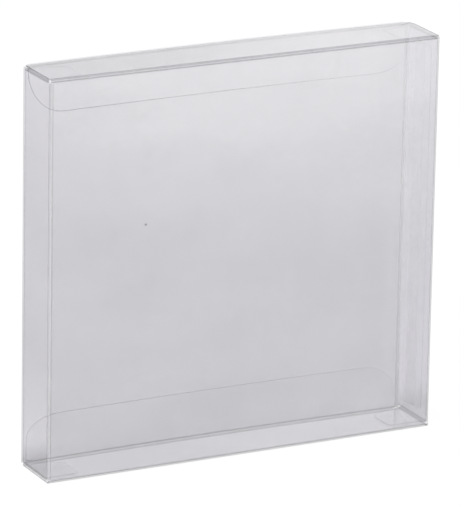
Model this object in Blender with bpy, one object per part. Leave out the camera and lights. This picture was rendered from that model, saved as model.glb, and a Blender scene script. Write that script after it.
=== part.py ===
"""A clear folding box for one boxed game: a film sleeve closed by a tucked lid at each end.

Every piece starts as flat film, cut to its outline in (along, up) coordinates, and is
then thickened and folded by a rule that gives each point its place on the closed box.
Metres, +Z up. The origin is on the floor under the middle of the box, front towards -Y.
"""

import math

import bmesh
import bpy
from mathutils import Vector

# Outside size at the corners, with every flap closed
WIDTH = 0.130
HEIGHT = 0.125
DEPTH = 0.0195

# Film and creases
SHEET = 0.0004
FOLD_RADIUS = 0.0010
CREASE_GAP = 0.0003
PANEL_BOW = 0.0012

# Seam: a tab folded off the back panel, glued inside the right-hand panel, short of the front
TAB_FRONT_GAP = 0.0040
TAB_TAPER = 0.0035
TAB_SHOULDER = 0.0020
TAB_SLOPE = 0.0010
LAP_GAP = 0.0001
SEAM_SETBACK = 0.0004
GLUE_WIDTH = 0.0060
GLUE_END_GAP = 0.0035

# Dust flaps, folded in from the side panels at both ends
DUST_LENGTH = 0.0120
DUST_FRONT_ROOT = 0.0016
DUST_FRONT_SETBACK = 0.0036
DUST_SHOULDER = 0.0014
DUST_BACK_ROOT = 0.0030
DUST_BACK_TIP = 0.0052
DUST_CORNER = 0.0013

# Back panel, whose end corners are rounded
BACK_CORNER = 0.0034

# Lids
LID_SIDE_GAP = 0.0002
LID_CORNER = 0.0040
TUCK_SLOT = 0.0005

# Tuck flaps, each rounded over its whole height at one end and over half of it at the other
TUCK_LENGTH = 0.0140
TUCK_SIDE_GAP = 0.0012
TUCK_STRAIGHT = 0.0010
TUCK_CORNER_WIDTH = 0.0115
TOP_LEAN_LEFT = 0.0023
TOP_LEAN_RIGHT = 0.0015
BOTTOM_LEAN_LEFT = 0.0015
BOTTOM_LEAN_RIGHT = 0.0015

# Facets
FOLD_STEPS = 5
BOW_STEPS = 14
WALL_ROWS = 6
CORNER_STEPS = 6
DUST_COLUMNS = 2
SHARP_ANGLE = math.radians(40)

# Film as it looks: faintly blue grey and clear
FILM_COLOUR = (0.74, 0.76, 0.80, 1.0)
FILM_ALPHA = 0.30
FILM_ROUGHNESS = 0.06
FILM_IOR = 1.57

# Places worked out from the sizes above
HALF_WIDTH = WIDTH / 2
TAB_WIDTH = DEPTH - TAB_FRONT_GAP
FRONT_Y = -DEPTH / 2
BACK_Y = DEPTH / 2
GLUE_MIDDLE_Y = BACK_Y - TAB_WIDTH / 2
GLUE_END = TAB_TAPER + TAB_SLOPE + GLUE_END_GAP
FOLD_LENGTH = FOLD_RADIUS * math.pi / 2
PANEL_END = HEIGHT - FOLD_RADIUS - CREASE_GAP
HINGE_HEIGHT = HEIGHT - FOLD_RADIUS - CREASE_GAP / 2
DUST_HEIGHT = HEIGHT - SHEET - CREASE_GAP
DUST_FOLD_START = DUST_HEIGHT - FOLD_RADIUS
LID_BACK_Y = BACK_Y - SHEET - TUCK_SLOT
TUCK_HINGE_Y = LID_BACK_Y - SHEET
TUCK_CORNER_LARGE = TUCK_LENGTH - TUCK_STRAIGHT
TUCK_CORNER_SMALL = TUCK_LENGTH / 2


def shares(count):
    """Even steps from 0 to 1."""
    return [i / count for i in range(count + 1)]


def round_shares(count):
    """Steps from 0 to 1 that crowd towards 1, as the points of a quarter circle do."""
    return [math.sin(share * math.pi / 2) for share in shares(count)]


def quarter(share):
    """How far a quarter circle has turned in, from 0 to 1, at this share of its height."""
    return 1 - math.sqrt(max(0.0, 1 - share * share))


def mix(start, end, share):
    return start + (end - start) * share


def bow_at(x):
    """How far the middle of the film stands out from the line between its two corners."""
    share = (x + HALF_WIDTH - FOLD_RADIUS) / (WIDTH - 2 * FOLD_RADIUS)
    return PANEL_BOW * math.sin(math.pi * min(1.0, max(0.0, share)))


class Film:
    """Flat film, built up from rows of points. Points in the same place are one corner."""

    def __init__(self):
        self.mesh = bmesh.new()
        self.corners = {}

    def corner(self, along, up):
        key = (round(along, 8), round(up, 8))
        if key not in self.corners:
            self.corners[key] = self.mesh.verts.new((along, up, 0.0))
        return self.corners[key]

    def band(self, low, high):
        """Adds one face between two rows of (along, up) points."""
        self.mesh.faces.new([self.corner(*point) for point in low + high[::-1]])

    def patch(self, rows):
        """Adds faces between rows of (along, up) points, given from low to high."""
        for low, high in zip(rows, rows[1:]):
            for i in range(len(low) - 1):
                self.band(low[i : i + 2], high[i : i + 2])

    def opened(self, along, until, low, high, depth):
        """Takes out the faces of one side of the film within a rectangle, and gives its rim."""
        inside = []
        for face in self.mesh.faces:
            middle = face.calc_center_median()
            if abs(middle.z - depth) < SHEET / 4 and along < middle.x < until and low < middle.y < high:
                inside.append(face)
        rim = []
        for edge in self.mesh.edges:
            if sum(face in inside for face in edge.link_faces) == 1:
                rim.append(edge)
        bmesh.ops.delete(self.mesh, geom=inside, context="FACES")
        return rim

    def join(self, rim, far_rim):
        """Adds a face from each edge of a rim to the nearest points of the rim across from it."""
        points = [vert for edge in far_rim for vert in edge.verts]
        for edge in rim:
            start, end = edge.verts
            across = []
            for vert in (end, start):
                across.append(min(points, key=lambda point: (point.co - vert.co).length))
            self.mesh.faces.new((start, end, *across))

    def folded(self, place, windows=()):
        """Thickens the film and moves each point to place(along, up, depth below the outer face).

        Windows are two rectangles that face each other once the film is folded. They are opened
        and their rims are joined, which is how a line of glue holds one face to the other.
        """
        made = bmesh.ops.extrude_face_region(self.mesh, geom=self.mesh.faces[:])
        for item in made["geom"]:
            if isinstance(item, bmesh.types.BMVert):
                item.co.z = SHEET
        rims = [self.opened(*window) for window in windows]
        for vert in self.mesh.verts:
            vert.co = place(*vert.co)
        if rims:
            self.join(*rims)
        bmesh.ops.recalc_face_normals(self.mesh, faces=self.mesh.faces[:])
        return self.mesh


def round_the_box():
    """The film's outer face seen from above, anticlockwise from the tab's free edge to the seam.

    Each run is (name, where it starts along the film, length, start x, start y, heading, turn).
    """
    tab_x = HALF_WIDTH - SHEET - LAP_GAP
    straights = (
        ("tab", TAB_WIDTH - FOLD_RADIUS),
        ("back", HALF_WIDTH + tab_x - 2 * FOLD_RADIUS),
        ("left", DEPTH - 2 * FOLD_RADIUS),
        ("front", WIDTH - 2 * FOLD_RADIUS),
        ("right", DEPTH - FOLD_RADIUS - SEAM_SETBACK),
    )
    x = tab_x
    y = BACK_Y - TAB_WIDTH
    along = 0.0
    heading = math.pi / 2
    runs = []
    for name, length in straights:
        runs.append((name, along, length, x, y, heading, 0.0))
        x += length * math.cos(heading)
        y += length * math.sin(heading)
        along += length
        if name == "right":
            break
        runs.append((name + "_corner", along, FOLD_LENGTH, x, y, heading, math.pi / 2))
        x += FOLD_RADIUS * (math.cos(heading) - math.sin(heading))
        y += FOLD_RADIUS * (math.sin(heading) + math.cos(heading))
        along += FOLD_LENGTH
        heading += math.pi / 2
    return runs


RUNS = round_the_box()
RUN_NAMED = {run[0]: run for run in RUNS}


def run_at(along):
    for run in RUNS:
        if along <= run[1] + run[2] + 1e-9:
            return run
    return RUNS[-1]


def turned_in(up, depth):
    """(height, distance in from the wall) of film that folds in over a dust flap's crease."""
    if up < HEIGHT / 2:
        height, inward = turned_in(HEIGHT - up, depth)
        return HEIGHT - height, inward
    past = up - DUST_FOLD_START
    if past <= 0:
        return up, depth
    if past < FOLD_LENGTH:
        angle = past / FOLD_RADIUS
        radius = FOLD_RADIUS - depth
        return DUST_FOLD_START + radius * math.sin(angle), FOLD_RADIUS - radius * math.cos(angle)
    return DUST_HEIGHT - depth, FOLD_RADIUS + past - FOLD_LENGTH


def place_on_sleeve(along, up, depth):
    name, start, length, x, y, heading, turn = run_at(along)
    way = along - start
    if turn:
        centre_x = x - FOLD_RADIUS * math.sin(heading)
        centre_y = y + FOLD_RADIUS * math.cos(heading)
        angle = heading - math.pi / 2 + way / FOLD_RADIUS
        radius = FOLD_RADIUS - depth
        return centre_x + radius * math.cos(angle), centre_y + radius * math.sin(angle), up
    x += way * math.cos(heading)
    y += way * math.sin(heading)
    height, inward = up, depth
    if name in ("left", "right"):
        height, inward = turned_in(up, depth)
    if name == "front":
        free = (up - (HEIGHT - PANEL_END)) / (2 * PANEL_END - HEIGHT)
        inward -= bow_at(x) * math.sin(math.pi * min(1.0, max(0.0, free)))
    if name == "back":
        inward -= bow_at(x)
    return x - inward * math.sin(heading), y + inward * math.cos(heading), height


def dust_edges(past):
    """(front, back) edges of a dust flap as y, at a distance past the start of its crease."""
    tip = FOLD_LENGTH + DUST_LENGTH - FOLD_RADIUS
    slope = min(1.0, max(0.0, (past - FOLD_LENGTH / 2) / DUST_SHOULDER))
    front = FRONT_Y + mix(DUST_FRONT_ROOT, DUST_FRONT_SETBACK, slope)
    back = BACK_Y - mix(DUST_BACK_ROOT, DUST_BACK_TIP, past / tip)
    rounding = quarter(max(0.0, (past - tip + DUST_CORNER) / DUST_CORNER)) * DUST_CORNER
    return front + rounding, back - rounding


def dust_rows(to_along):
    """Rows of a dust flap from its crease to its tip, as (along, distance past the crease)."""
    tip = FOLD_LENGTH + DUST_LENGTH - FOLD_RADIUS
    shoulder = FOLD_LENGTH / 2 + DUST_SHOULDER
    stops = [FOLD_LENGTH * share for share in shares(FOLD_STEPS)]
    stops += [FOLD_LENGTH / 2, shoulder]
    stops += [tip - DUST_CORNER * (1 - share) for share in round_shares(CORNER_STEPS)]
    rows = []
    for past in sorted(set(stops)):
        front, back = dust_edges(past)
        across = [mix(front, back, share) for share in shares(DUST_COLUMNS)]
        rows.append([(to_along(y), past) for y in across])
    return rows


def end_margin(name, way, length):
    """How far below the box's top the film is cut, at a place along one of its runs."""
    plain = HEIGHT - PANEL_END
    if name == "tab":
        if way > length - TAB_SHOULDER:
            return mix(TAB_TAPER, plain, (way - length + TAB_SHOULDER) / TAB_SHOULDER)
        return TAB_TAPER + TAB_SLOPE * (1 - way / (length - TAB_SHOULDER))
    if name == "back":
        near = min(way, length - way)
        share = min(1.0, near / BACK_CORNER)
        return plain * quarter(1 - share)
    return plain


def stations(name, length):
    """Where one run of the sleeve's film gets a column of points."""
    if name.endswith("_corner"):
        return [length * share for share in shares(FOLD_STEPS)]
    if name == "tab":
        return [0.0, length - TAB_SHOULDER, length]
    if name == "front":
        return [length * share for share in shares(BOW_STEPS)]
    if name == "back":
        corner = [BACK_CORNER * (1 - share) for share in round_shares(CORNER_STEPS)]
        middle = [mix(BACK_CORNER, length - BACK_CORNER, share) for share in shares(BOW_STEPS)]
        return sorted(set(corner + middle + [length - way for way in corner]))
    return [0.0, length]


def side_columns(name, length):
    """(way, margin, whether a dust flap grows there) along a side panel."""
    front, back = dust_edges(0.0)
    fold = HEIGHT - DUST_FOLD_START
    across = [mix(front, back, share) for share in shares(DUST_COLUMNS)]
    start_y = FRONT_Y + FOLD_RADIUS
    if name == "left":
        ways = [length - (y - start_y) for y in reversed(across)]
    else:
        ways = [y - start_y for y in across]
    plain = HEIGHT - PANEL_END
    return [(0.0, plain)] + [(way, fold) for way in ways] + [(length, plain)]


def glue_ways(name):
    """Where the front and back edges of the glue lie along the tab or the right-hand panel."""
    run_y = RUN_NAMED[name][4]
    return [GLUE_MIDDLE_Y + side * GLUE_WIDTH / 2 - run_y for side in (-1, 1)]


def make_sleeve():
    film = Film()
    levels = [mix(GLUE_END, HEIGHT - GLUE_END, share) for share in shares(WALL_ROWS)]
    for name, start, length, *_ in RUNS:
        if name in ("left", "right"):
            columns = side_columns(name, length)
        else:
            columns = [(way, end_margin(name, way, length)) for way in stations(name, length)]
        low = [(start + way, margin) for way, margin in columns]
        high = [(start + way, HEIGHT - margin) for way, margin in columns]
        if name in ("tab", "left", "right"):
            ways = [0.0, length] if name == "left" else [0.0, *glue_ways(name), length]
            rows = [[(start + way, level) for way in ways] for level in levels]
            film.band(low, rows[0])
            film.patch(rows)
            film.band(rows[-1], high)
        else:
            rows = [[(along, level) for along, _ in low] for level in levels]
            film.patch([low] + rows + [high])
    for name in ("left", "right"):
        _, start, length, *_ = RUN_NAMED[name]
        front_y = FRONT_Y + FOLD_RADIUS
        for top in (True, False):
            if name == "left":
                rows = dust_rows(lambda y: start + length - (y - front_y))
            else:
                rows = dust_rows(lambda y: start + (y - front_y))
            fold = DUST_FOLD_START
            rows = [[(a, fold + past if top else HEIGHT - fold - past) for a, past in row] for row in rows]
            film.patch(rows)
    windows = []
    for name, depth in (("tab", 0.0), ("right", SHEET)):
        along, until = [RUN_NAMED[name][1] + way for way in glue_ways(name)]
        windows.append((along, until, GLUE_END, HEIGHT - GLUE_END, depth))
    return film.folded(place_on_sleeve, windows)


def place_on_lid(x, up, depth):
    """Top lid: up starts at the front crease, goes over the lid and ends at the tuck crease."""
    flat = LID_BACK_Y - FRONT_Y - 2 * FOLD_RADIUS
    front_centre = FRONT_Y + FOLD_RADIUS
    back_centre = front_centre + flat
    radius = FOLD_RADIUS - depth
    centre_z = HEIGHT - FOLD_RADIUS
    if up <= FOLD_LENGTH:
        angle = up / FOLD_RADIUS
        return x, front_centre - radius * math.cos(angle), centre_z + radius * math.sin(angle)
    way = up - FOLD_LENGTH
    if way <= flat:
        return x, front_centre + way + bow_at(x) * way / flat, centre_z + radius
    angle = (way - flat) / FOLD_RADIUS
    y = back_centre + radius * math.sin(angle) + bow_at(x)
    return x, y, centre_z + radius * math.cos(angle)


def make_lid():
    """The top lid, with a quarter turn of film at its front and back creases."""
    flat = LID_BACK_Y - FRONT_Y - 2 * FOLD_RADIUS
    length = flat + 2 * FOLD_LENGTH
    corner = length - LID_CORNER
    stops = [FOLD_LENGTH * share for share in shares(FOLD_STEPS)]
    stops += [length - FOLD_LENGTH * share for share in shares(FOLD_STEPS)]
    stops += [corner + LID_CORNER * share for share in round_shares(CORNER_STEPS)]
    film = Film()
    rows = []
    for up in sorted(set(round(stop, 9) for stop in stops)):
        rounding = LID_CORNER * quarter(max(0.0, (up - corner) / LID_CORNER))
        half = HALF_WIDTH - LID_SIDE_GAP - rounding
        rows.append([(mix(-half, half, share), up) for share in shares(BOW_STEPS)])
    film.patch(rows)
    return film.folded(place_on_lid)


def tuck_half(down, corner):
    """How far a tuck flap reaches to one side, at a distance down from its crease."""
    share = max(0.0, (down - TUCK_LENGTH + corner) / corner)
    return HALF_WIDTH - TUCK_SIDE_GAP - TUCK_CORNER_WIDTH * quarter(share)


def make_tuck(corner_left, corner_right, lean_left, lean_right):
    """The top tuck flap: a wide flap with large rounded corners, leaning in from the back panel."""

    def place(x, down, depth):
        lean = mix(lean_left, lean_right, (x + HALF_WIDTH) / WIDTH) * down / TUCK_LENGTH
        return x, LID_BACK_Y + bow_at(x) - lean - depth, PANEL_END - down

    stops = [0.0]
    for corner in (corner_left, corner_right):
        stops += [TUCK_LENGTH - corner * (1 - share) for share in round_shares(CORNER_STEPS)]
    film = Film()
    rows = []
    for down in sorted(set(round(stop, 9) for stop in stops)):
        left = -tuck_half(down, corner_left)
        right = tuck_half(down, corner_right)
        rows.append([(mix(left, right, share), down) for share in shares(BOW_STEPS)])
    film.patch(rows)
    return film.folded(place)


def turned_over(mesh):
    """The same piece at the bottom of the box."""
    for vert in mesh.verts:
        vert.co.z = HEIGHT - vert.co.z
    bmesh.ops.reverse_faces(mesh, faces=mesh.faces[:])
    return mesh


def film_material(name):
    material = bpy.data.materials.new(name + "_film")
    material.use_nodes = True
    shader = material.node_tree.nodes["Principled BSDF"]
    shader.inputs["Base Color"].default_value = FILM_COLOUR
    shader.inputs["Roughness"].default_value = FILM_ROUGHNESS
    shader.inputs["Metallic"].default_value = 0.0
    shader.inputs["IOR"].default_value = FILM_IOR
    shader.inputs["Alpha"].default_value = FILM_ALPHA
    return material


def add_piece(name, mesh, pivot=(0.0, 0.0, 0.0), parent=None):
    """Adds a piece whose origin is at pivot, a point in the box's own frame."""
    pivot = Vector(pivot)
    bmesh.ops.translate(mesh, verts=mesh.verts[:], vec=-pivot)
    data = bpy.data.meshes.new(name)
    mesh.to_mesh(data)
    mesh.free()
    data.shade_smooth()
    data.set_sharp_from_angle(angle=SHARP_ANGLE)
    data.materials.append(film_material(name))
    piece = bpy.data.objects.new(name, data)
    bpy.context.scene.collection.objects.link(piece)
    piece.location = pivot
    if parent:
        piece.parent = parent
        bpy.context.view_layer.update()
        piece.location = pivot - parent.matrix_world.translation
    return piece


def main():
    for thing in list(bpy.data.objects):
        bpy.data.objects.remove(thing)
    sleeve = add_piece("sleeve", make_sleeve())
    top_hinge = (0.0, FRONT_Y, HINGE_HEIGHT)
    top_crease = (0.0, TUCK_HINGE_Y, HINGE_HEIGHT)
    bottom_hinge = (0.0, FRONT_Y, HEIGHT - HINGE_HEIGHT)
    bottom_crease = (0.0, TUCK_HINGE_Y, HEIGHT - HINGE_HEIGHT)
    top_lid = add_piece("top_lid", make_lid(), top_hinge, sleeve)
    top_tuck = make_tuck(TUCK_CORNER_LARGE, TUCK_CORNER_SMALL, TOP_LEAN_LEFT, TOP_LEAN_RIGHT)
    add_piece("top_tuck_flap", top_tuck, top_crease, top_lid)
    bottom_lid = add_piece("bottom_lid", turned_over(make_lid()), bottom_hinge, sleeve)
    bottom_tuck = make_tuck(TUCK_CORNER_SMALL, TUCK_CORNER_LARGE, BOTTOM_LEAN_LEFT, BOTTOM_LEAN_RIGHT)
    add_piece("bottom_tuck_flap", turned_over(bottom_tuck), bottom_crease, bottom_lid)


main()
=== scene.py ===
"""Clear folding box, dressed: film with its creases, cut edges and glue, in a plain pale studio.

Each piece is cut as flat film in (along, up) coordinates, thickened, and folded by a rule that
gives every point its place on the closed box. Metres, +Z up, front towards -Y.
"""

import math

import bmesh
import bpy
from bpy.props import FloatProperty, FloatVectorProperty, IntProperty, PointerProperty
from mathutils import Matrix, Vector, noise


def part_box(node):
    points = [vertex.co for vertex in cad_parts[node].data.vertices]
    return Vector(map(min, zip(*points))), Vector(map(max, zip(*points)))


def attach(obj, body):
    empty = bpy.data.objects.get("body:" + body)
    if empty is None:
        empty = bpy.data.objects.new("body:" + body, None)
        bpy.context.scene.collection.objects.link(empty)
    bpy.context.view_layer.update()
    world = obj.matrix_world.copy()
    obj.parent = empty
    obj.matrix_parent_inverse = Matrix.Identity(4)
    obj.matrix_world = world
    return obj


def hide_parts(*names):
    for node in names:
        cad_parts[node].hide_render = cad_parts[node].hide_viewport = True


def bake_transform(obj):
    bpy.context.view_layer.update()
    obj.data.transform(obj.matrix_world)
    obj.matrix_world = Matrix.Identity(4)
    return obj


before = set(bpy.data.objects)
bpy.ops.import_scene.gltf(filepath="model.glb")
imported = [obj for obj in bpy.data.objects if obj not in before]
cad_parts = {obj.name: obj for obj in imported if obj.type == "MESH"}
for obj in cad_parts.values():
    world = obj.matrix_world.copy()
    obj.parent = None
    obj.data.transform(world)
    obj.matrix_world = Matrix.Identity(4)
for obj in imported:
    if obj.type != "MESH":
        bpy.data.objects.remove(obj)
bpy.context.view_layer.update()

bl_info = {
    "name": "Clear Folding Box",
    "version": (1, 0, 0),
    "blender": (4, 5, 0),
    "location": "View3D > Sidebar > Clear Box",
    "description": "Builds a clear film box with lids, tuck flaps, creases and a pale studio",
    "category": "Object",
}

# The frame's own sizes
SLEEVE_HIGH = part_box("sleeve")[1]
LID_LOW, LID_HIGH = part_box("top_lid")
TUCK_LOW, TUCK_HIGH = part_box("top_tuck_flap")

# A speck of dust caught in the front panel
SPECK = (-0.03384, -0.01050, 0.07745)

# The marks that a film mesh carries for its material: distances to its creases, then shares
UPRIGHT = "upright_crease"
LEVEL = "level_crease"
FLAP = "inner_flap"
CALM = "calm"
CUT = "cut_shade"
# Whitening of the film, which also carries painted highlights on the glued corner and the dust flaps
HAZE_AND_HIGHLIGHT = "haze_and_highlight"
# How dark the painted shade along a crease is
CREASE_SHADE = "painted_crease_shade"
MARKS = (UPRIGHT, LEVEL, FLAP, CALM, CUT, HAZE_AND_HIGHLIGHT, CREASE_SHADE)

# A distance that is clear of every crease
FAR = 0.05

# How dark the painted shade along each fold is: the glued corner, which shows light instead, gets little
UPRIGHT_CREASE_SHADES = {"tab_corner": 0.15, "back_corner": 0.5, "left_corner": 1.0, "front_corner": 0.5}
FRONT_CREASE_SHADES = {"top": 0.9, "bottom": 0.5}
BACK_CREASE_SHADES = {"top": 0.35, "bottom": 0.6}
SIDE_CREASE_SHADES = {"top": 0.5, "bottom": 0.45}

# How much less the dust flaps mirror than a wall, and how much painted highlight lightens them
DUST_CALMS = {"top": 0.8, "bottom": 0.0}
DUST_HIGHLIGHTS = {"top": 0.08, "bottom": 0.10}

# How white the film is at the line of glue and at the front left corner, and the painted highlight along
# the glued corner
GLUE_HAZE = 0.2
GLUED_CORNER_HIGHLIGHT = 0.5
FRONT_CORNER_HAZE = 0.07

# How dark the painted shade on the cut edges is: the dust flaps', and the tuck flaps', which fade across
# the box
DUST_CUT = 0.12
TOP_TUCK_FADE = 0.9
TOP_TUCK_POWER = 1.5
BOTTOM_TUCK_CUT = 0.6

# Strengths of the cards, which only show in what the film mirrors
SOFTBOX_STRENGTH = 2.0
SURROUND_STRENGTH = 0.85
BACK_LOW_STRENGTHS = (1.15, 1.40)
BACK_HIGH_STRENGTHS = (0.68, 0.92)

# Kinds of rays that see the background as plain white
SEEING = ("Is Camera Ray", "Is Glossy Ray", "Is Transmission Ray")

# Rows of pixels in the frame that the camera was fitted in
FRAME_ROWS = 506

# Places this close are one place, and edges sharper than this angle stay sharp
TOUCH = 1e-6
SHARP_ANGLE = math.radians(40)


def length_size(name, description, default):
    return FloatProperty(name=name, description=description, default=default, unit="LENGTH", precision=5)


class ClearBoxSizes(bpy.types.PropertyGroup):
    """Sizes of the film and its folds."""

    sheet: length_size("Film", "Thickness of the film", 0.0004)
    fold: length_size("Fold radius", "Outer radius of every fold", 0.0009)
    crease_drop: length_size("Crease drop", "From a lid's face down to the panel's end", 0.0013)
    crease_gap: length_size("Crease gap", "Length of film that turns at a hinged crease", 0.0003)
    bow: length_size("Bow", "How far the middle of a panel stands out", SLEEVE_HIGH.y + LID_LOW.y)
    tab_front_gap: length_size("Tab gap", "From the seam tab's edge to the front panel", 0.0040)
    tab_taper: length_size("Tab taper", "How far the tab's ends stop short of the box's", 0.0035)
    tab_shoulder: length_size("Tab shoulder", "Width of the slope from tab to back panel", 0.0020)
    tab_slope: length_size("Tab slope", "How much shorter the tab is at its free edge", 0.0010)
    lap_gap: length_size("Lap gap", "Gap between the tab and the panel it is glued to", 0.0001)
    seam_setback: length_size("Seam setback", "From the panel's cut edge to the back face", 0.0004)
    glue_width: length_size("Glue width", "Width of the line of glue", 0.0060)
    dust_gap: length_size("Dust flap gap", "From a lid's underside to the dust flaps", 0.0001)
    dust_length: length_size("Dust flap length", "How far a dust flap reaches in", 0.0120)
    dust_front_root: length_size("Dust flap root, front", "From the front face at the crease", 0.0016)
    dust_front_setback: length_size("Dust flap setback", "From the front face past the shoulder", 0.0036)
    dust_shoulder: length_size("Dust flap shoulder", "Length of the slope at its front", 0.0014)
    dust_back_root: length_size("Dust flap root, back", "From the back face at the crease", 0.0014)
    dust_back_tip: length_size("Dust flap tip, back", "From the back face at the tip", 0.0052)
    dust_corner: length_size("Dust flap corner", "Radius of a dust flap's corners", 0.0013)
    back_foot: length_size("Back foot", "From a lid's face to the ends of the back corners", 0.0007)
    back_corner: length_size("Back corner", "Radius of the back panel's corners", 0.0016)
    lid_left: length_size("Lid corner, left", "Radius of the top lid's back left corner", 0.0018)
    lid_right: length_size("Lid corner, right", "Radius of the top lid's back right corner", 0.0036)
    bottom_lid_corner: length_size("Bottom lid corner", "Radius of the bottom lid's corners", 0.0012)
    tuck_straight: length_size("Tuck straight", "Where a tuck flap's large rounding starts", 0.0010)
    tuck_corner_width: length_size("Tuck corner", "Width of a tuck flap's roundings", 0.0115)
    top_lean_left: length_size("Top lean, left", "How far the top tuck flap leans in", 0.0012)
    top_lean_right: length_size("Top lean, right", "How far the top tuck flap leans in", 0.0004)
    bottom_lean: length_size("Bottom lean", "How far the bottom tuck flap leans in", 0.0002)
    edge_round: length_size("Edge rounding", "How far a cut edge is rounded at its two rims", 0.00012)
    ripple: length_size("Ripple", "Height of the slow waves in the film", 0.00014)
    ripple_pitch: length_size("Ripple pitch", "Distance between the slow waves", 0.045)
    fold_steps: IntProperty(name="Fold steps", description="Facets in a quarter turn", default=10, min=2)
    bow_steps: IntProperty(name="Bow steps", description="Facets across a bowed panel", default=52, min=4)
    wall_rows: IntProperty(name="Wall rows", description="Rows of facets up a wall", default=46, min=4)
    dust_columns: IntProperty(
        name="Dust flap columns", description="Facets across a dust flap", default=12, min=2)


class ClearBoxLooks(bpy.types.PropertyGroup):
    """Colours and finish of the film."""

    film_tint: FloatVectorProperty(
        name="Film tint", description="Light that one face of a wall lets through",
        subtype="COLOR", size=3, min=0.0, max=1.0, default=(0.906, 0.903, 0.915))
    flap_tint: FloatVectorProperty(
        name="Flap tint", description="Light that one face of an inner flap lets through",
        subtype="COLOR", size=3, min=0.0, max=1.0, default=(0.999, 0.999, 0.999))
    # Painted shade: how much less a cut edge lets through than the film
    edge_tint: FloatVectorProperty(
        name="Cut edge tint", description="Light that a wall's cut edge lets through",
        subtype="COLOR", size=3, min=0.0, max=1.0, default=(0.955, 0.955, 0.965))
    flap_edge_tint: FloatVectorProperty(
        name="Flap edge tint", description="Light that an inner flap's cut edge lets through",
        subtype="COLOR", size=3, min=0.0, max=1.0, default=(0.50, 0.50, 0.52))
    # White of dust and whitened film, which also draws painted highlights
    haze_and_highlight_colour: FloatVectorProperty(
        name="Haze", description="Colour of fine dust and whitened film",
        subtype="COLOR", size=3, min=0.0, max=1.0, default=(0.93, 0.93, 0.93))
    head_on_gloss: FloatProperty(
        name="Head-on gloss", description="Share that a face mirrors seen straight on",
        default=0.045, min=0.0, max=1.0)
    roughness: FloatProperty(
        name="Roughness", description="Blur of what the film mirrors", default=0.06, min=0.0, max=1.0)
    # Painted shade: dark lines along the upright and level folds, and a dark band between two level lines
    upright_dark: FloatProperty(
        name="Upright score", description="How much a score line darkens an upright crease",
        default=0.16, min=0.0, max=1.0)
    level_dark: FloatProperty(
        name="Level score", description="How much a score line darkens a level crease",
        default=0.26, min=0.0, max=1.0)
    level_band: FloatProperty(
        name="Level band", description="How much the fold between two level score lines darkens",
        default=0.09, min=0.0, max=1.0)
    flap_calm: FloatProperty(
        name="Flap calm", description="How much less an inner flap mirrors than a wall",
        default=0.85, min=0.0, max=1.0)
    # Painted shade: folds drawn darker where they are seen at a slant
    slant_dark: FloatProperty(
        name="Slanted fold", description="How much a fold darkens where it is seen at a slant",
        default=0.22, min=0.0, max=1.0)


class ClearBoxStudio(bpy.types.PropertyGroup):
    """Where the camera stands and how it is turned."""

    yaw: FloatProperty(name="Yaw", description="Camera turned right of straight back",
                       default=math.radians(27.2307), subtype="ANGLE")
    pitch: FloatProperty(name="Pitch", description="Camera tilted down",
                         default=math.radians(17.1598), subtype="ANGLE")
    roll: FloatProperty(name="Roll", description="Camera rolled",
                        default=math.radians(1.0501), subtype="ANGLE")
    focal_pixels: FloatProperty(name="Focal length", description="In pixels of the 460 by 506 frame",
                                default=5033.9)
    across: length_size("Across", "The box's front middle, right of the camera's axis", 0.003546)
    above: length_size("Above", "The box's front foot, above the camera's axis", -0.061356)
    away: length_size("Away", "The box's front foot, in front of the camera", 1.530252)


def shares(count):
    """Even steps from 0 to 1."""
    return [i / count for i in range(count + 1)]


def round_shares(count):
    """Steps from 0 to 1 that crowd towards 1, as the points of a quarter circle do."""
    return [math.sin(share * math.pi / 2) for share in shares(count)]


def quarter(share):
    """How far a quarter circle has turned in, from 0 to 1, at this share of its height."""
    return 1 - math.sqrt(max(0.0, 1 - share * share))


def mix(start, end, share):
    return start + (end - start) * share


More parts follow.
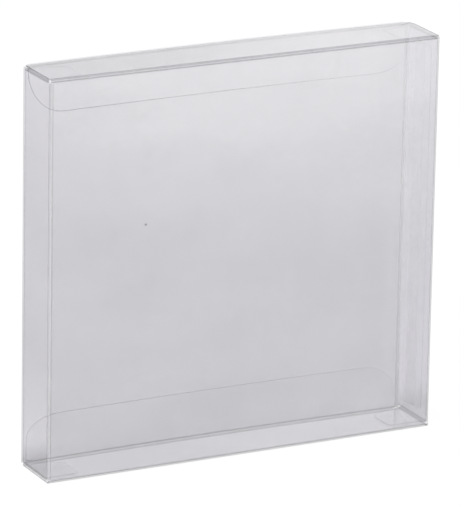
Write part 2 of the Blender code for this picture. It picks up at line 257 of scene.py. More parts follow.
class Box:
    """The box's places, worked out from the frame and the sizes in the panel."""

    def __init__(self, sizes):
        self.s = sizes
        self.half = SLEEVE_HIGH.x
        self.height = SLEEVE_HIGH.z
        self.front = LID_LOW.y
        self.back = -LID_LOW.y
        self.turn = sizes.fold * math.pi / 2
        self.panel_end = self.height - sizes.crease_drop
        self.rise = sizes.crease_drop - sizes.crease_gap - sizes.fold
        self.dust_height = self.height - sizes.sheet - sizes.dust_gap
        self.dust_start = self.dust_height - sizes.fold
        self.lid_half = LID_HIGH.x
        self.lid_back = LID_HIGH.y - sizes.bow
        self.tuck_half = TUCK_HIGH.x
        self.tuck_length = TUCK_HIGH.z - TUCK_LOW.z
        self.tuck_corners = (self.tuck_length - sizes.tuck_straight, self.tuck_length / 2)
        self.tab_width = 2 * self.back - sizes.tab_front_gap
        self.tab_x = self.half - sizes.sheet - sizes.lap_gap
        self.runs = self.round_the_box()

    def bow_at(self, x):
        share = (x + self.half - self.s.fold) / (2 * self.half - 2 * self.s.fold)
        return self.s.bow * math.sin(math.pi * min(1.0, max(0.0, share)))

    def round_the_box(self):
        """The outer face seen from above, anticlockwise from the tab's free edge to the seam."""
        s = self.s
        straights = (
            ("tab", self.tab_width - s.fold),
            ("back", self.half + self.tab_x - 2 * s.fold),
            ("left", 2 * self.back - 2 * s.fold),
            ("front", 2 * self.half - 2 * s.fold),
            ("right", 2 * self.back - s.fold - s.seam_setback),
        )
        x = self.tab_x
        y = self.back - self.tab_width
        along = 0.0
        heading = math.pi / 2
        runs = []
        for name, length in straights:
            runs.append((name, along, length, x, y, heading, 0.0))
            x += length * math.cos(heading)
            y += length * math.sin(heading)
            along += length
            if name == "right":
                break
            runs.append((name + "_corner", along, self.turn, x, y, heading, math.pi / 2))
            x += s.fold * (math.cos(heading) - math.sin(heading))
            y += s.fold * (math.sin(heading) + math.cos(heading))
            along += self.turn
            heading += math.pi / 2
        return runs

    def run_at(self, along):
        for run in self.runs:
            if along <= run[1] + run[2] + 1e-9:
                return run
        return self.runs[-1]

    def turned_in(self, up, depth):
        """(height, distance in from the wall) of film that folds in over a dust flap's crease."""
        if up < self.height / 2:
            height, inward = self.turned_in(self.height - up, depth)
            return self.height - height, inward
        past = up - self.dust_start
        if past <= 0:
            return up, depth
        if past < self.turn:
            angle = past / self.s.fold
            radius = self.s.fold - depth
            return self.dust_start + radius * math.sin(angle), self.s.fold - radius * math.cos(angle)
        return self.dust_height - depth, self.s.fold + past - self.turn

    def ripple_at(self, along, up, margin):
        """Slow waves in the film, which die out towards its creases."""
        pitch = self.s.ripple_pitch
        upright_squeeze = 0.6
        layer = 3.7
        fade = 0.012
        wave = 0.5 + 0.5 * noise.noise(Vector((along / pitch, up / pitch * upright_squeeze, layer)))
        return self.s.ripple * wave * min(1.0, margin / fade)

    def place_on_sleeve(self, along, up, depth):
        name, start, length, x, y, heading, turn = self.run_at(along)
        way = along - start
        if turn:
            centre_x = x - self.s.fold * math.sin(heading)
            centre_y = y + self.s.fold * math.cos(heading)
            angle = heading - math.pi / 2 + way / self.s.fold
            radius = self.s.fold - depth
            return centre_x + radius * math.cos(angle), centre_y + radius * math.sin(angle), up
        x += way * math.cos(heading)
        y += way * math.sin(heading)
        height, inward = up, depth
        if name in ("left", "right"):
            height, inward = self.turned_in(up, depth)
        margin = min(way, length - way, up - (self.height - self.panel_end), self.panel_end - up)
        if name == "front":
            free = (up - (self.height - self.panel_end)) / (2 * self.panel_end - self.height)
            inward -= self.bow_at(x) * math.sin(math.pi * min(1.0, max(0.0, free)))
        if name == "back":
            inward -= self.bow_at(x)
        if name in ("front", "back", "left"):
            inward += self.ripple_at(along, up, max(0.0, margin))
        return x - inward * math.sin(heading), y + inward * math.cos(heading), height

    def hinged_on_sleeve(self, along, up):
        """Whether the film is joined here to a lid's crease."""
        from_end = min(up, self.height - up)
        return self.run_at(along)[0] == "front" and abs(from_end - self.s.crease_drop) < TOUCH

    def marks_on_sleeve(self, along, up):
        """The film's marks, in the order of MARKS."""
        name, start, length = self.run_at(along)[:3]
        creases = [(abs(along - run[1] - run[2] / 2), run[0]) for run in self.runs if run[6]]
        upright, corner = min(creases)
        # How dark the painted shade along the nearest fold is
        painted_shade = UPRIGHT_CREASE_SHADES[corner]
        from_end = min(up, self.height - up)
        level = FAR
        end = "bottom" if up < self.height / 2 else "top"
        flap = 1.0 if name == "tab" else 0.0
        calm = flap
        cut = 0.0
        haze_and_highlight = 0.0
        if name == "tab" and abs(along - start - length / 2) < self.s.glue_width / 2:
            haze_and_highlight = GLUE_HAZE
        # Painted highlight along the glued corner's fold
        if name == "tab_corner":
            haze_and_highlight = GLUED_CORNER_HIGHLIGHT
        if name == "left_corner":
            haze_and_highlight = FRONT_CORNER_HAZE * math.sin(math.pi * (along - start) / length)
        if name == "front":
            level = from_end - self.s.crease_drop + self.s.crease_gap + self.rise + self.turn / 2
            if level < 2 * self.turn:
                painted_shade = FRONT_CREASE_SHADES[end]
        if name in ("left", "right"):
            past = self.dust_start + self.turn / 2 - (self.height - from_end)
            level = abs(past)
            flap = min(1.0, max(0.0, -past / (self.turn / 2)))
            calm = DUST_CALMS[end] * flap
            # Painted shade on the dust flap's cut edge
            cut = DUST_CUT * flap
            # Painted highlight that lightens the dust flap
            haze_and_highlight = DUST_HIGHLIGHTS[end] * flap
            if past < self.turn:
                painted_shade = SIDE_CREASE_SHADES[end]
        return upright, level, flap, calm, cut, haze_and_highlight, painted_shade

    def dust_edges(self, past):
        """(front, back) edges of a dust flap as y, at a distance past the start of its crease."""
        s = self.s
        tip = self.turn + s.dust_length - s.fold
        slope = min(1.0, max(0.0, (past - self.turn / 2) / s.dust_shoulder))
        front = self.front + mix(s.dust_front_root, s.dust_front_setback, slope)
        back = self.back - mix(s.dust_back_root, s.dust_back_tip, past / tip)
        rounding = quarter(max(0.0, (past - tip + s.dust_corner) / s.dust_corner)) * s.dust_corner
        return front + rounding, back - rounding

    def dust_rows(self):
        """(past, ys) of each row of points, from a dust flap's crease to its tip."""
        s = self.s
        steps = 6
        tip = self.turn + s.dust_length - s.fold
        stops = [self.turn * share for share in shares(s.fold_steps)]
        slope_end = self.turn / 2 + s.dust_shoulder
        stops += [self.turn / 2, slope_end]
        stops += [mix(slope_end, tip - s.dust_corner, share) for share in shares(steps)]
        stops += [tip - s.dust_corner * (1 - share) for share in round_shares(steps)]
        rows = []
        for past in sorted(set(round(stop, 9) for stop in stops)):
            front, back = self.dust_edges(past)
            rows.append((past, [mix(front, back, share) for share in shares(s.dust_columns)]))
        return rows

    def end_margin(self, name, way, length):
        """How far below the box's top the film is cut, at a place along one of its runs."""
        plain = self.height - self.panel_end
        s = self.s
        if name == "tab":
            if way > length - s.tab_shoulder:
                return mix(s.tab_taper, s.back_foot, (way - length + s.tab_shoulder) / s.tab_shoulder)
            return s.tab_taper + s.tab_slope * (1 - way / (length - s.tab_shoulder))
        if name == "back":
            near = min(way, length - way)
            share = min(1.0, near / s.back_corner)
            return s.back_foot * quarter(1 - share)
        if name in ("tab_corner", "back_corner"):
            return s.back_foot
        if name.endswith("_corner"):
            crease_share = 0.9
            return plain - crease_share * s.crease_gap * math.sin(math.pi * way / length)
        return plain

    def stations(self, name, length):
        """Where one run of the sleeve's film gets a column of points."""
        s = self.s
        if name.endswith("_corner"):
            return [length * share for share in shares(s.fold_steps)]
        if name == "tab":
            glue_fade = 0.0002
            corner_fade = 0.0004
            reaches = (s.glue_width / 2 - glue_fade, s.glue_width / 2 + glue_fade)
            glued = [length / 2 - reach for reach in reaches] + [length / 2 + reach for reach in reaches]
            return sorted([0.0] + glued + [length - s.tab_shoulder, length - corner_fade, length])
        if name == "front":
            return [length * share for share in shares(s.bow_steps)]
        corner = [s.back_corner * (1 - share) for share in round_shares(s.fold_steps)]
        middle = [mix(s.back_corner, length - s.back_corner, share) for share in shares(s.bow_steps)]
        every = corner + middle + [length - way for way in corner]
        return sorted(set(round(way, 9) for way in every))[:-1] + [length]

    def side_columns(self, name, length):
        """(way, margin) along a side panel, with a dust flap's width between the outer two."""
        front, back = self.dust_edges(0.0)
        fold = self.height - self.dust_start
        across = [mix(front, back, share) for share in shares(self.s.dust_columns)]
        start_y = self.front + self.s.fold
        if name == "left":
            ways = [length - (y - start_y) for y in reversed(across)]
        else:
            ways = [y - start_y for y in across]
        ends = [self.s.back_foot, self.height - self.panel_end]
        if name == "right":
            ends.reverse()
        return [(0.0, ends[0])] + [(way, fold) for way in ways] + [(length, ends[1])]

    def wall(self, name, start, length):
        """Rows of (along, up) points up one wall or corner of the sleeve."""
        if name in ("left", "right"):
            cuts = self.side_columns(name, length)
        else:
            cuts = [(way, self.end_margin(name, way, length)) for way in self.stations(name, length)]
        rows = []
        for share in shares(self.s.wall_rows):
            rows.append([(start + way, mix(cut, self.height - cut, share)) for way, cut in cuts])
        return rows

    def dust_flap(self, name, start, length, end):
        """Rows of (along, up) points of the dust flap at one end of a side panel."""
        start_y = self.front + self.s.fold
        rows = []
        for past, ys in self.dust_rows():
            if name == "left":
                ways = [start + length - (y - start_y) for y in ys]
            else:
                ways = [start + (y - start_y) for y in ys]
            up = self.dust_start + past if end == "top" else self.height - self.dust_start - past
            rows.append([(way, up) for way in ways])
        return rows

    def place_on_lid(self, x, up, depth):
        s = self.s
        flat = self.lid_back - self.front - 2 * s.fold
        front_centre = self.front + s.fold
        radius = s.fold - depth
        centre_z = self.height - s.fold
        past = up - self.rise
        if past <= self.turn:
            angle = max(0.0, past) / s.fold
            z = centre_z + radius * math.sin(angle) + min(0.0, past)
            return x, front_centre - radius * math.cos(angle), z
        way = past - self.turn
        if way <= flat:
            return x, front_centre + way + self.bow_at(x) * way / flat, centre_z + radius
        angle = min(self.turn, way - flat) / s.fold
        y = front_centre + flat + radius * math.sin(angle) + self.bow_at(x)
        return x, y, centre_z + radius * math.cos(angle) - max(0.0, way - flat - self.turn)

    def marks_on_lid(self, end, up):
        flat = self.lid_back - self.front - 2 * self.s.fold
        past = up - self.rise
        level = min(abs(past - self.turn / 2), abs(past - self.turn * 1.5 - flat))
        flap = min(1.0, max(0.0, (past - self.turn - flat) / (self.turn / 2)))
        # Painted shade on the lid's cut edges
        cut = 1.0
        if end == "top":
            cut = min(1.0, max(0.0, past / self.turn - 0.5))
        # Painted shade along the lid's front and back folds
        painted_shade = FRONT_CREASE_SHADES[end] if past < self.turn + flat / 2 else BACK_CREASE_SHADES[end]
        return FAR, level, flap, flap, cut, 0.0, painted_shade

    def lid_corners(self, end):
        """Radii of a lid's left and right back corners."""
        if end == "top":
            return self.s.lid_left, self.s.lid_right
        return self.s.bottom_lid_corner, self.s.bottom_lid_corner

    def hinge_ends(self, end):
        """Where the crease between a lid and its tuck flap starts and ends, as x."""
        left, right = self.lid_corners(end)
        return left - self.lid_half, self.lid_half - right

    def tuck_reach(self, down, corner):
        """How far a tuck flap reaches to one side, at a distance down from its crease."""
        share = max(0.0, (down - self.tuck_length + corner) / corner)
        return self.tuck_half - self.s.tuck_corner_width * quarter(share)


class Film:
    """Flat film, built up from rows of points. Points in the same place are one corner."""

    def __init__(self, sizes):
        self.mesh = bmesh.new()
        self.sheet = sizes.sheet
        self.edge_round = sizes.edge_round
        self.corners = {}

    def corner(self, along, up):
        key = (round(along, 8), round(up, 8))
        if key not in self.corners:
            self.corners[key] = self.mesh.verts.new((along, up, 0.0))
        return self.corners[key]

    def patch(self, rows):
        """Adds faces between rows of (along, up) points, given from low to high."""
        for low, high in zip(rows, rows[1:]):
            for i in range(len(low) - 1):
                points = (low[i], low[i + 1], high[i + 1], high[i])
                self.mesh.faces.new([self.corner(*point) for point in points])

    def thicken(self, hinged):
        """Gives the film its thickness and rounded cut edges, with its hinged borders left open."""
        mesh = self.mesh
        made = bmesh.ops.extrude_face_region(mesh, geom=mesh.faces[:])
        for item in made["geom"]:
            if isinstance(item, bmesh.types.BMVert):
                item.co.z = self.sheet
        bmesh.ops.recalc_face_normals(mesh, faces=mesh.faces[:])
        for face in mesh.faces:
            depths = [vert.co.z for vert in face.verts]
            face.material_index = 1 if max(depths) - min(depths) > self.sheet / 2 else 0
        across = []
        for edge in mesh.edges:
            if abs(edge.verts[0].co.z - edge.verts[1].co.z) > self.sheet / 2:
                across.append(edge)
        bmesh.ops.subdivide_edges(mesh, edges=across, cuts=1)
        mesh.normal_update()
        for vert in mesh.verts:
            if abs(vert.co.z - self.sheet / 2) > self.sheet / 4 or hinged(vert.co.x, vert.co.y):
                continue
            for edge in vert.link_edges:
                rim = edge.other_vert(vert)
                if abs(rim.co.z - vert.co.z) > self.sheet / 4:
                    rim.co.xy -= vert.normal.xy * self.edge_round
        seams = []
        for face in mesh.faces:
            if face.material_index and all(hinged(vert.co.x, vert.co.y) for vert in face.verts):
                seams.append(face)
        bmesh.ops.delete(mesh, geom=seams, context="FACES")

    def folded(self, place, marks, hinged):
        """Thickens the film, notes its marks, and moves each point to its place on the box."""
        self.thicken(hinged)
        layers = [self.mesh.verts.layers.float.new(name) for name in MARKS]
        for vert in self.mesh.verts:
            for layer, value in zip(layers, marks(vert.co.x, vert.co.y)):
                vert[layer] = value
            vert.co = place(*vert.co)
        return self.mesh


def turned_over(mesh, height):
    """The same piece at the bottom of the box."""
    for vert in mesh.verts:
        vert.co.z = height - vert.co.z
    bmesh.ops.reverse_faces(mesh, faces=mesh.faces[:])
    return mesh


def add_piece(name, mesh, materials):
    """A smooth-shaded object from a finished mesh."""
    data = bpy.data.meshes.new(name)
    mesh.to_mesh(data)
    mesh.free()
    data.shade_smooth()
    data.set_sharp_from_angle(angle=SHARP_ANGLE)
    for material in materials:
        data.materials.append(material)
    if not data.polygons:
        raise RuntimeError(f"{name} has no faces")
    piece = bpy.data.objects.new(name, data)
    bpy.context.scene.collection.objects.link(piece)
    return piece


class Wire:
    """One output of a node, with Python's operators for Math nodes."""

    def __init__(self, shades, socket):
        self.shades = shades
        self.socket = socket

    def math(self, operation, *terms):
        values = {i: term for i, term in enumerate(terms)}
        return self.shades.wire("ShaderNodeMath", {"operation": operation}, values)

    def __add__(self, other):
        return self.math("ADD", self, other)

    __radd__ = __add__

    def __sub__(self, other):
        return self.math("SUBTRACT", self, other)

    def __rsub__(self, other):
        return self.math("SUBTRACT", other, self)

    def __mul__(self, other):
        return self.math("MULTIPLY", self, other)

    __rmul__ = __mul__

    def __truediv__(self, other):
        return self.math("DIVIDE", self, other)

    def __pow__(self, other):
        return self.math("POWER", self, other)

    def limited(self):
        """The value kept between 0 and 1."""
        return self.shades.wire("ShaderNodeClamp", {}, {"Value": self})

    def eased(self, low, high):
        """0 below low, 1 above high, and a smooth step between them."""
        values = {"Value": self, "From Min": low, "From Max": high}
        return self.shades.wire("ShaderNodeMapRange", {"interpolation_type": "SMOOTHSTEP"}, values)


class Shades:
    """The nodes of one material or world."""

    def __init__(self, owner):
        owner.use_nodes = True
        self.tree = owner.node_tree
        self.tree.nodes.clear()

    def node(self, kind, settings=None, values=None):
        """Adds a node: its settings are set first, then the values or links of its sockets."""
        made = self.tree.nodes.new(kind)
        for name, value in (settings or {}).items():
            setattr(made, name, value)
        for name, value in (values or {}).items():
            if isinstance(value, Wire):
                self.tree.links.new(value.socket, made.inputs[name])
            else:
                made.inputs[name].default_value = value
        return made

    def wire(self, kind, settings=None, values=None, output=0):
        return Wire(self, self.node(kind, settings, values).outputs[output])

    def mark(self, name):
        """One of the marks that a film mesh carries."""
        return self.wire("ShaderNodeAttribute", {"attribute_name": name}, {}, "Fac")

    def rays(self, *kinds):
        """1 for rays of these kinds, and 0 for all others."""
        path = self.node("ShaderNodeLightPath")
        return sum(Wire(self, path.outputs[kind]) for kind in kinds).limited()

    def along_axes(self):
        """A point's places along X, Y and Z."""
        place = self.wire("ShaderNodeTexCoord", {}, {}, "Object")
        parts = self.node("ShaderNodeSeparateXYZ", {}, {"Vector": place})
        return [Wire(self, part) for part in parts.outputs]

    def either(self, share, first, second):
        """A shader between two others."""
        return self.wire("ShaderNodeMixShader", {}, {0: share, 1: first, 2: second})

    def see_through(self, tint):
        return self.wire("ShaderNodeBsdfTransparent", {}, {"Color": colour(tint)})

    def paper(self, tint):
        return self.wire("ShaderNodeBsdfDiffuse", {}, {"Color": colour(tint)})

    def glow(self, strength, tint=(1.0, 1.0, 1.0), kind="ShaderNodeEmission"):
        return self.wire(kind, {}, {"Color": colour(tint), "Strength": strength})

    def clouds(self, place, scale, detail):
        """Soft noise from 0 to 1 over a place."""
        return self.wire("ShaderNodeTexNoise", {}, {"Vector": place, "Scale": scale, "Detail": detail}, 0)

    def stretched(self, place, factors):
        return self.wire("ShaderNodeVectorMath", {"operation": "MULTIPLY"}, {0: place, 1: factors})

    def finish(self, surface, kind="ShaderNodeOutputMaterial"):
        self.node(kind, {}, {"Surface": surface})


def colour(value):
    return (*value, 1.0)


def film_material(box, looks):
    """Clear film: tinted see-through, gloss that grows at a slant, painted shade along the folds, faint
    white mottling and painted highlights.
    """
    material = bpy.data.materials.new("film_face")
    shades = Shades(material)
    arc = box.turn / 2
    upright_width = 0.00016
    level_width = 0.00022
    upright = shades.mark(UPRIGHT)
    level = shades.mark(LEVEL)
    flap = shades.mark(FLAP)
    off_upright = (upright - arc) / upright_width
    upright_line = (1 + off_upright * off_upright) ** -2
    off_level = (level - arc) / level_width
    level_line = (1 + off_level * off_level) ** -2
    level_band = 1 - level.eased(arc * 0.9, arc * 1.2)
    upright_band = 1 - upright.eased(arc * 0.9, arc * 1.2)
    facing = shades.wire("ShaderNodeLayerWeight", {}, {"Blend": 0.5}, "Facing")
    fold = (level_band + upright_band).limited()
    gloss = looks.head_on_gloss + (1 - looks.head_on_gloss) * facing ** 5
    gloss = gloss * (1 - looks.flap_calm * shades.mark(CALM))
    gloss = gloss * (1 - 0.95 * fold * facing.eased(0.25, 0.65))
    place = shades.wire("ShaderNodeTexCoord", {}, {}, "Object")
    speck = shades.wire("ShaderNodeVectorMath", {"operation": "DISTANCE"}, {0: place, 1: SPECK}, 1)
    speck_core = 0.0002
    speck_rim = 0.0005
    clouds = shades.clouds(place, 34.0, 5.0)
    lying = shades.clouds(shades.stretched(place, (1.0, 1.0, 3.2)), 22.0, 4.0)
    standing = shades.clouds(shades.stretched(place, (3.0, 3.0, 0.7)), 40.0, 3.0)
    scratches = shades.clouds(place, 420.0, 2.0)
    # Painted shade along the creases: thin dark lines at both edges of each fold, and a band between the
    # level lines
    painted_shade = shades.mark(CREASE_SHADE)
    dark = looks.level_dark * level_line + looks.level_band * level_band + looks.upright_dark * upright_line
    # Painted shade: a fold drawn darker where it is seen at a slant
    slant = looks.slant_dark * fold * facing.eased(0.10, 0.60)
    dark = painted_shade * dark + (0.4 + 0.6 * painted_shade.limited()) * slant
    dark = dark + 0.5 * (1 - speck.eased(speck_core, speck_rim))
    bump = shades.wire("ShaderNodeBump", {}, {"Height": clouds, "Strength": 0.12, "Distance": 0.002})
    through = shades.either(flap, shades.see_through(looks.film_tint), shades.see_through(looks.flap_tint))
    # Black, which draws the painted crease shade and the dust speck
    shadow = shades.paper((0.0, 0.0, 0.0))
    mirror = shades.wire(
        "ShaderNodeBsdfGlossy", {},
        {"Color": (1.0, 1.0, 1.0, 1.0), "Roughness": looks.roughness, "Normal": bump})
    # White closure for the film's dust mottling, its glue line and painted highlights
    haze_and_highlight = shades.paper(looks.haze_and_highlight_colour)
    clear = shades.either(gloss, shades.either(dark.limited(), through, shadow), mirror)
    broad_fog = 0.02
    fine_fog = 0.012
    fog_and_highlight = clouds.eased(0.35, 0.75) * broad_fog + lying.eased(0.40, 0.70) * broad_fog
    fog_and_highlight = fog_and_highlight + standing.eased(0.45, 0.75) * fine_fog + scratches.eased(0.60, 0.80) * fine_fog
    # Adds the whitening mark: the glue, and painted highlights on the glued corner and the dust flaps
    fog_and_highlight = fog_and_highlight + shades.mark(HAZE_AND_HIGHLIGHT) * (0.5 + 0.4 * clouds.eased(0.20, 0.65))
    shades.finish(shades.either(fog_and_highlight.limited(), clear, haze_and_highlight))
    return material


def edge_material(looks):
    """Cut edge of the film: painted shade makes it darker to look through, with a little white from the
    cut.
    """
    material = bpy.data.materials.new("film_cut_edge")
    shades = Shades(material)
    place = shades.wire("ShaderNodeTexCoord", {}, {}, "Object")
    nicks = shades.clouds(place, 900.0, 2.0)
    through = shades.either(
        shades.mark(CUT), shades.see_through(looks.edge_tint), shades.see_through(looks.flap_edge_tint))
    least_white = 0.03
    nick_white = 0.12
    white = least_white + nick_white * nicks.eased(0.45, 0.7)
    shades.finish(shades.either(white, through, shades.paper(looks.haze_and_highlight_colour)))
    return material


def mirrored_floor(shades):
    """The tones of the floor that the film mirrors, in front of the box and behind it."""
    across, back, _ = shades.along_axes()
    slant = 0.6
    slant_start = 0.15
    near = slant * (across - slant_start) - back
    front_tone = 0.03 * near.eased(0.0, 0.08) + 0.41 * near.eased(0.13, 0.34)
    front_tone = front_tone + 0.18 * near.eased(0.325, 0.385) + 0.32 * near.eased(0.38, 0.45)
    half_width = 0.065
    drift = 0.5
    slide = ((across + drift * back + half_width) / (2 * half_width)).limited()
    left_tone = 0.60 + 1.5 * back * back - 0.30 * back.eased(0.01, 0.12)
    right_tone = 1.0 - 0.18 * back.eased(0.04, 0.20) + 0.18 * back.eased(0.28, 0.38)
    back_tone = (left_tone + (right_tone - left_tone) * slide).limited()
    dim = shades.glow(1.0, (0.0, 0.0, 0.0))
    in_front = shades.either(front_tone, dim, shades.glow(1.0, (1.60, 1.62, 1.54)))
    behind = shades.either(back_tone, dim, shades.glow(1.0, (1.31, 1.28, 1.36)))
    return shades.either(back.eased(0.01, 0.03), in_front, behind)


def floor_material():
    """Pale paper, near white wherever it is seen, which keeps the box's shadow."""
    material = bpy.data.materials.new("pale_floor")
    shades = Shades(material)
    seen_glow = 0.9
    plain = shades.either(
        shades.rays(*SEEING) * seen_glow, shades.paper((0.9, 0.9, 0.9)), shades.glow(1.0))
    shades.finish(shades.either(shades.rays("Is Glossy Ray"), plain, mirrored_floor(shades)))
    return material


def film_materials(context):
    """The film's two materials, made once."""
    if "film_face" not in bpy.data.materials:
        film_material(Box(context.scene.clear_box_sizes), context.scene.clear_box_looks)
        edge_material(context.scene.clear_box_looks)
    return [bpy.data.materials["film_face"], bpy.data.materials["film_cut_edge"]]


class CLEARBOX_OT_sleeve(bpy.types.Operator):
    """Builds the four walls with the glued tab and the dust flaps"""

    bl_idname = "clear_box.sleeve"
    bl_label = "Sleeve"

    def execute(self, context):
        sizes = context.scene.clear_box_sizes
        box = Box(sizes)
        film = Film(sizes)
        for name, start, length, *_ in box.runs:
            film.patch(box.wall(name, start, length))
            if name in ("left", "right"):
                for end in ("top", "bottom"):
                    film.patch(box.dust_flap(name, start, length, end))
        mesh = film.folded(box.place_on_sleeve, box.marks_on_sleeve, box.hinged_on_sleeve)
        piece = add_piece("folded_sleeve", mesh, film_materials(context))
        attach(piece, "sleeve")
        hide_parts("sleeve")
        return {"FINISHED"}


class CLEARBOX_OT_lids(bpy.types.Operator):
    """Builds the top and bottom lids with their folded front and back edges"""

    bl_idname = "clear_box.lids"
    bl_label = "Lids"

    def execute(self, context):
        sizes = context.scene.clear_box_sizes
        box = Box(sizes)
        flat = box.lid_back - box.front - 2 * sizes.fold
        length = round(flat + 2 * box.turn + 2 * box.rise, 9)
        folded = [box.rise + box.turn * share for share in shares(sizes.fold_steps)]
        steps = 8

        def hinged(x, up):
            return min(abs(up), abs(up - length)) < TOUCH

        for end in ("top", "bottom"):
            film = Film(sizes)
            corners = box.lid_corners(end)
            stops = [0.0, length] + folded + [length - stop for stop in folded]
            stops += [mix(folded[-1], length - max(corners), share) for share in shares(steps)]
            for radius in corners:
                stops += [length - radius * (1 - share) for share in round_shares(steps)]
            rows = []
            for up in sorted(set(round(stop, 9) for stop in stops)):
                left, right = (box.lid_half - r * quarter(max(0.0, 1 - (length - up) / r)) for r in corners)
                rows.append([(mix(-left, right, share), up) for share in shares(sizes.bow_steps)])
            film.patch(rows)

            def marks(x, up):
                return box.marks_on_lid(end, up)

            mesh = film.folded(box.place_on_lid, marks, hinged)
            if end == "bottom":
                turned_over(mesh, box.height)
            piece = add_piece(f"{end}_folded_lid", mesh, film_materials(context))
            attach(piece, f"{end}_lid")
            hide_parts(f"{end}_lid")
        return {"FINISHED"}


class CLEARBOX_OT_tuck_flaps(bpy.types.Operator):
    """Builds the two tuck flaps inside the back panel"""

    bl_idname = "clear_box.tuck_flaps"
    bl_label = "Tuck flaps"

    def execute(self, context):
        sizes = context.scene.clear_box_sizes
        box = Box(sizes)
        corner_steps = 16
        stops = [0.0]
        for corner in box.tuck_corners:
            stops += [box.tuck_length - corner * (1 - share) for share in round_shares(corner_steps)]
        leans = {"top": (sizes.top_lean_left, sizes.top_lean_right), "bottom": (sizes.bottom_lean,) * 2}

        for end, (lean_left, lean_right) in leans.items():
            hinge_left, hinge_right = box.hinge_ends(end)

            def marks(x, down):
                across = (x / box.half + 1) / 2
                # Painted shade on the tuck flap's cut edge, fading across the box
                if end == "top":
                    cut = 1 - TOP_TUCK_FADE * across ** TOP_TUCK_POWER
                else:
                    cut = BOTTOM_TUCK_CUT * (1 - across)
                # The tuck flap's crease gets the back fold's painted shade
                level = down + sizes.crease_gap + box.rise + box.turn / 2
                return FAR, level, 1.0, 1.0, cut, 0.0, BACK_CREASE_SHADES[end]

            def hinged(x, down):
                return down < TOUCH and hinge_left < x < hinge_right

            def place(x, down, depth):
                lean = mix(lean_left, lean_right, (x / box.half + 1) / 2) * down / box.tuck_length
                return x, box.lid_back + box.bow_at(x) - lean - depth, box.panel_end - down

            film = Film(sizes)
            rows = []
            left_corner, right_corner = box.tuck_corners if end == "top" else box.tuck_corners[::-1]
            for down in sorted(set(round(stop, 9) for stop in stops)):
                left = -box.tuck_reach(down, left_corner)
                right = box.tuck_reach(down, right_corner)
                rows.append([(mix(left, right, step), down) for step in shares(sizes.bow_steps)])
            film.patch(rows)
            mesh = film.folded(place, marks, hinged)
            if end == "bottom":
                turned_over(mesh, box.height)
            piece = add_piece(f"{end}_tucked_flap", mesh, film_materials(context))
            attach(piece, f"{end}_tuck_flap")
            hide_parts(f"{end}_tuck_flap")
        return {"FINISHED"}


class CLEARBOX_OT_creases(bpy.types.Operator):
    """Builds the narrow strips of film that turn at the lid and tuck creases"""

    bl_idname = "clear_box.creases"
    bl_label = "Creases"

    def execute(self, context):
        sizes = context.scene.clear_box_sizes
        box = Box(sizes)
        arc = box.turn / 2
        front_half = box.half - sizes.fold
        crease_rows = 5

        def at_front(x, up, depth):
            return x, box.front + depth, box.panel_end + up

        def at_back(x, up, depth):
            return x, box.lid_back + box.bow_at(x) - depth, box.panel_end + up

        def hinged(x, up):
            return min(abs(up), abs(up - sizes.crease_gap)) < TOUCH

        for end in ("top", "bottom"):
            strips = (
                ("front", (-front_half, front_half), at_front, "sleeve", box.front),
                ("back", box.hinge_ends(end), at_back, f"{end}_tuck_flap", box.lid_back),
            )
            for side, (left, right), place, low_body, y in strips:
                # The strip gets the painted shade of its fold
                flap, painted_shade = (0.0, FRONT_CREASE_SHADES[end]) if side == "front" else (1.0, BACK_CREASE_SHADES[end])

                def marks(x, up):
                    return FAR, arc + box.rise + sizes.crease_gap - up, flap, flap, 0.0, 0.0, painted_shade

                film = Film(sizes)
                rows = []
                for share in shares(crease_rows):
                    up = sizes.crease_gap * share
                    rows.append([(mix(left, right, step), up) for step in shares(sizes.bow_steps)])
                film.patch(rows)
                mesh = film.folded(place, marks, hinged)
                low, high = box.panel_end, box.panel_end + sizes.crease_gap
                if end == "bottom":
                    turned_over(mesh, box.height)
                    low, high = box.height - low, box.height - high
                piece = add_piece(f"{end}_{side}_crease", mesh, film_materials(context))
                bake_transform(piece)
        return {"FINISHED"}


def add_card(name, corners, shade):
    """A studio card that only shows in what the film mirrors."""
    data = bpy.data.meshes.new(name)
    data.from_pydata([list(corner) for corner in corners], [], [(0, 1, 2, 3)])
    material = bpy.data.materials.new(name)
    shades = Shades(material)
    shade(shades)
    data.materials.append(material)
    card = bpy.data.objects.new(name, data)
    bpy.context.scene.collection.objects.link(card)
    card.visible_camera = False
    card.visible_diffuse = False
    card.visible_transmission = False
    card.visible_shadow = False
    return card


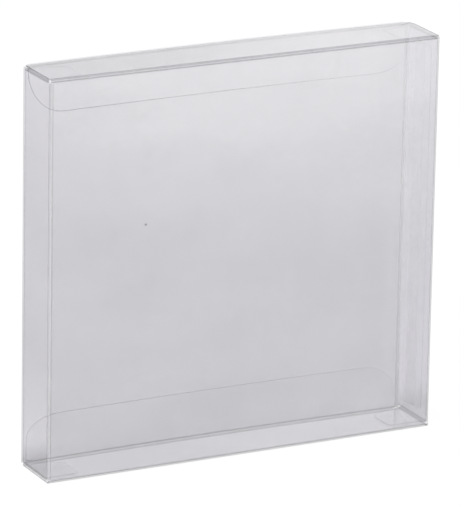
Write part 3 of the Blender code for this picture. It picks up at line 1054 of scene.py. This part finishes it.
class CLEARBOX_OT_stage(bpy.types.Operator):
    """Adds the pale floor, the soft lamps, the cards and the camera"""

    bl_idname = "clear_box.stage"
    bl_label = "Studio"

    def execute(self, context):
        self.add_floor()
        self.add_cards()
        self.add_lamps()
        self.add_world()
        self.add_camera(context.scene)
        return {"FINISHED"}

    def add_floor(self):
        reach = 6.0
        corners = [(-reach, -reach, 0), (reach, -reach, 0), (reach, reach, 0), (-reach, reach, 0)]
        data = bpy.data.meshes.new("floor")
        data.from_pydata(corners, [], [(0, 1, 2, 3)])
        data.materials.append(floor_material())
        floor = bpy.data.objects.new("floor", data)
        bpy.context.scene.collection.objects.link(floor)

    def add_cards(self):
        def softbox(shades):
            shades.finish(shades.glow(SOFTBOX_STRENGTH))

        def backdrop(shades):
            across, _, up = shades.along_axes()
            to_the_right = across.eased(0.18, 0.31)
            to_the_top = up.eased(0.18, 0.27)
            low_card = shades.either(to_the_right, *map(shades.glow, BACK_LOW_STRENGTHS))
            high_card = shades.either(to_the_right, *map(shades.glow, BACK_HIGH_STRENGTHS))
            shades.finish(shades.either(to_the_top, low_card, high_card))

        def surround(shades):
            shades.finish(shades.glow(SURROUND_STRENGTH))

        low, high = 0.06, 1.2
        for name, shade, (x0, y0), (x1, y1), bottom, top in (
            ("front_softbox", softbox, (-0.3, -0.62), (0.8, -0.62), 0.47, 0.95),
            ("back_card", backdrop, (-1.2, 0.5), (1.2, 0.5), low, high),
            ("front_card", surround, (-1.5, -1.2), (1.5, -1.2), low, high),
            ("left_card", surround, (-1.5, -1.2), (-1.5, 0.5), low, high),
            ("right_card", surround, (1.5, -1.2), (1.5, 0.5), low, high),
        ):
            add_card(name, [(x0, y0, bottom), (x1, y1, bottom), (x1, y1, top), (x0, y0, top)], shade)

    def add_lamps(self):
        aim = Vector((0, 0, 0.06))
        for name, place, size, power in (
            ("overhead_softbox", (-0.3, -0.2, 1.3), 1.2, 14.0),
            ("side_softbox", (-1.2, -0.6, 0.8), 0.9, 6.0),
        ):
            data = bpy.data.lights.new(name, "AREA")
            data.size = size
            data.energy = power
            lamp = bpy.data.objects.new(name, data)
            lamp.location = place
            lamp.visible_glossy = False
            lamp.rotation_euler = (aim - Vector(place)).to_track_quat("-Z", "Y").to_euler()
            bpy.context.scene.collection.objects.link(lamp)

    def add_world(self):
        world = bpy.data.worlds.new("studio")
        bpy.context.scene.world = world
        shades = Shades(world)
        soft = shades.glow(0.75, kind="ShaderNodeBackground")
        white = shades.glow(1.0, kind="ShaderNodeBackground")
        shades.finish(shades.either(shades.rays(*SEEING), soft, white), "ShaderNodeOutputWorld")

    def add_camera(self, scene):
        studio = scene.clear_box_studio
        yaw, pitch, roll = studio.yaw, studio.pitch, studio.roll
        forward = Vector((
            math.sin(yaw) * math.cos(pitch), math.cos(yaw) * math.cos(pitch), -math.sin(pitch)))
        level = Vector((math.cos(yaw), -math.sin(yaw), 0.0))
        above = level.cross(forward)
        right = level * math.cos(roll) + above * math.sin(roll)
        up = above * math.cos(roll) - level * math.sin(roll)
        foot = Vector((0.0, LID_LOW.y, 0.0))
        place = foot - right * studio.across - up * studio.above - forward * studio.away
        data = bpy.data.cameras.new("camera")
        data.sensor_fit = "VERTICAL"
        data.sensor_height = 36.0
        data.lens = studio.focal_pixels * data.sensor_height / FRAME_ROWS
        data.clip_end = 50.0
        camera = bpy.data.objects.new("camera", data)
        turn = Matrix((right, up, -forward)).transposed().to_4x4()
        camera.matrix_world = Matrix.Translation(place) @ turn
        scene.collection.objects.link(camera)
        scene.camera = camera
        scene.view_settings.view_transform = "Standard"
        scene.cycles.transparent_max_bounces = 48


class CLEARBOX_PT_panel(bpy.types.Panel):
    """Lists the box's sizes, finish and operators"""

    bl_label = "Clear Box"
    bl_idname = "CLEARBOX_PT_panel"
    bl_space_type = "VIEW_3D"
    bl_region_type = "UI"
    bl_category = "Clear Box"

    def draw(self, context):
        layout = self.layout
        for operator in OPERATORS:
            layout.operator(operator.bl_idname)
        for group in (context.scene.clear_box_sizes, context.scene.clear_box_looks,
                      context.scene.clear_box_studio):
            box = layout.box()
            for name in group.__annotations__:
                box.prop(group, name)


GROUPS = {
    "clear_box_sizes": ClearBoxSizes,
    "clear_box_looks": ClearBoxLooks,
    "clear_box_studio": ClearBoxStudio,
}
OPERATORS = (
    CLEARBOX_OT_sleeve,
    CLEARBOX_OT_lids,
    CLEARBOX_OT_tuck_flaps,
    CLEARBOX_OT_creases,
    CLEARBOX_OT_stage,
)


def register():
    for kind in (*GROUPS.values(), *OPERATORS, CLEARBOX_PT_panel):
        bpy.utils.register_class(kind)
    for name, group in GROUPS.items():
        setattr(bpy.types.Scene, name, PointerProperty(type=group))


def unregister():
    for name in GROUPS:
        delattr(bpy.types.Scene, name)
    for kind in (CLEARBOX_PT_panel, *reversed(OPERATORS), *reversed(GROUPS.values())):
        bpy.utils.unregister_class(kind)


def main():
    register()
    bpy.ops.clear_box.sleeve()
    bpy.ops.clear_box.lids()
    bpy.ops.clear_box.tuck_flaps()
    bpy.ops.clear_box.creases()
    bpy.ops.clear_box.stage()


if __name__ == "__main__":
    main()
